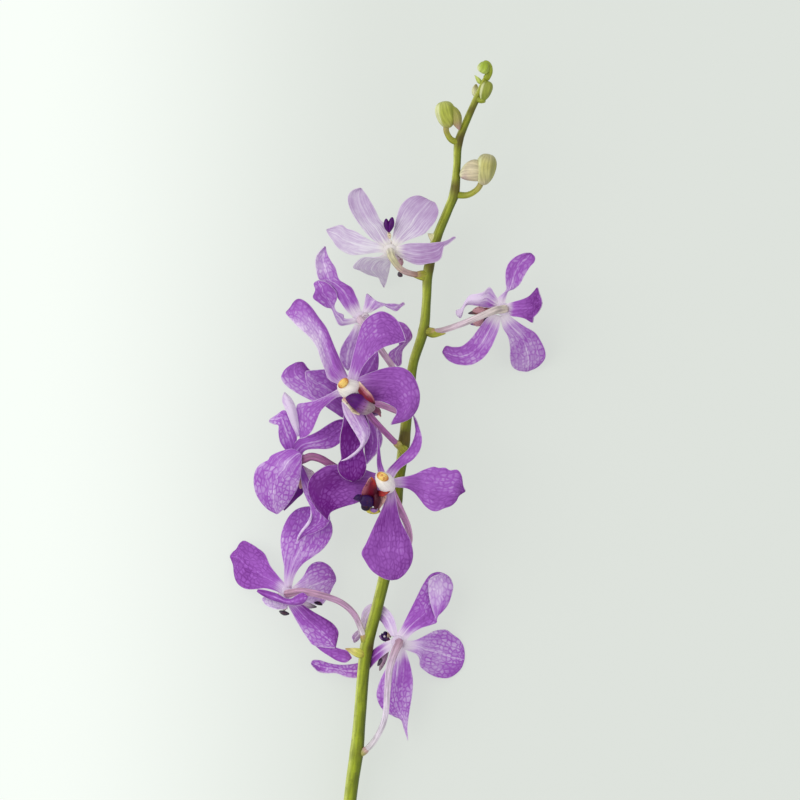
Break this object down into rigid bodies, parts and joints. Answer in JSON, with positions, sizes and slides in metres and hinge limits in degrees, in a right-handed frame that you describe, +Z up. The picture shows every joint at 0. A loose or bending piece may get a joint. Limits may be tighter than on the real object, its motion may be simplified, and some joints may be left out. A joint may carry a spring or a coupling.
{
  "type": "cut orchid spray",
  "caption": "Lying cut spray of violet mokara orchids: flat netted tepals, small dark lips and cream columns on curved pedicels, with green buds at the tip of a green stem.",
  "frame": {"origin": "middle of the spray's outline seen from above, on the surface it lies on", "axes": "+Y along the stem from the cut end to the bud tip, +Z up from the surface to the side the picture shows, +X to the right seen from above with the tip away"},
  "size_m": [0.1262, 0.3966, 0.0563],
  "materials": {
    "stem": "waxy green stem, pale and dark green in streaks",
    "tepals": "violet petal with a darker net of veins, paler at its root and on its back",
    "pedicel": "dusty pink, whitish and green in streaks",
    "column": "cream white, waxy",
    "cap": "yellow orange, waxy",
    "lip": "maroon to dark indigo, satin, pale at the edges",
    "bud": "yellow green with darker ribs, waxy"
  },
  "bodies": {
    "root": {"stem": "stem", "bloom_1_tepals": "tepals", "bloom_1_pedicel": "pedicel", "bloom_1_column": "column", "bloom_1_cap": "cap", "bloom_1_lip": "lip", "bloom_2_tepals": "tepals", "bloom_2_pedicel": "pedicel", "bloom_2_column": "column", "bloom_2_cap": "cap", "bloom_2_lip": "lip", "bloom_3_tepals": "tepals", "bloom_3_pedicel": "pedicel", "bloom_3_column": "column", "bloom_3_cap": "cap", "bloom_3_lip": "lip", "bloom_4_tepals": "tepals", "bloom_4_pedicel": "pedicel", "bloom_4_column": "column", "bloom_4_cap": "cap", "bloom_4_lip": "lip", "bloom_5_tepals": "tepals", "bloom_5_pedicel": "pedicel", "bloom_5_column": "column", "bloom_5_cap": "cap", "bloom_5_lip": "lip", "bloom_6_tepals": "tepals", "bloom_6_pedicel": "pedicel", "bloom_6_column": "column", "bloom_6_cap": "cap", "bloom_6_lip": "lip", "bloom_7_tepals": "tepals", "bloom_7_pedicel": "pedicel", "bloom_7_column": "column", "bloom_7_cap": "cap", "bloom_7_lip": "lip", "bloom_8_tepals": "tepals", "bloom_8_pedicel": "pedicel", "bloom_8_column": "column", "bloom_8_cap": "cap", "bloom_8_lip": "lip", "bloom_9_tepals": "tepals", "bloom_9_pedicel": "pedicel", "bloom_9_column": "column", "bloom_9_cap": "cap", "bloom_9_lip": "lip", "bud_1": "bud", "bud_2": "bud", "bud_3": "bud", "bud_4": "bud"}
  },
  "joints": []
}
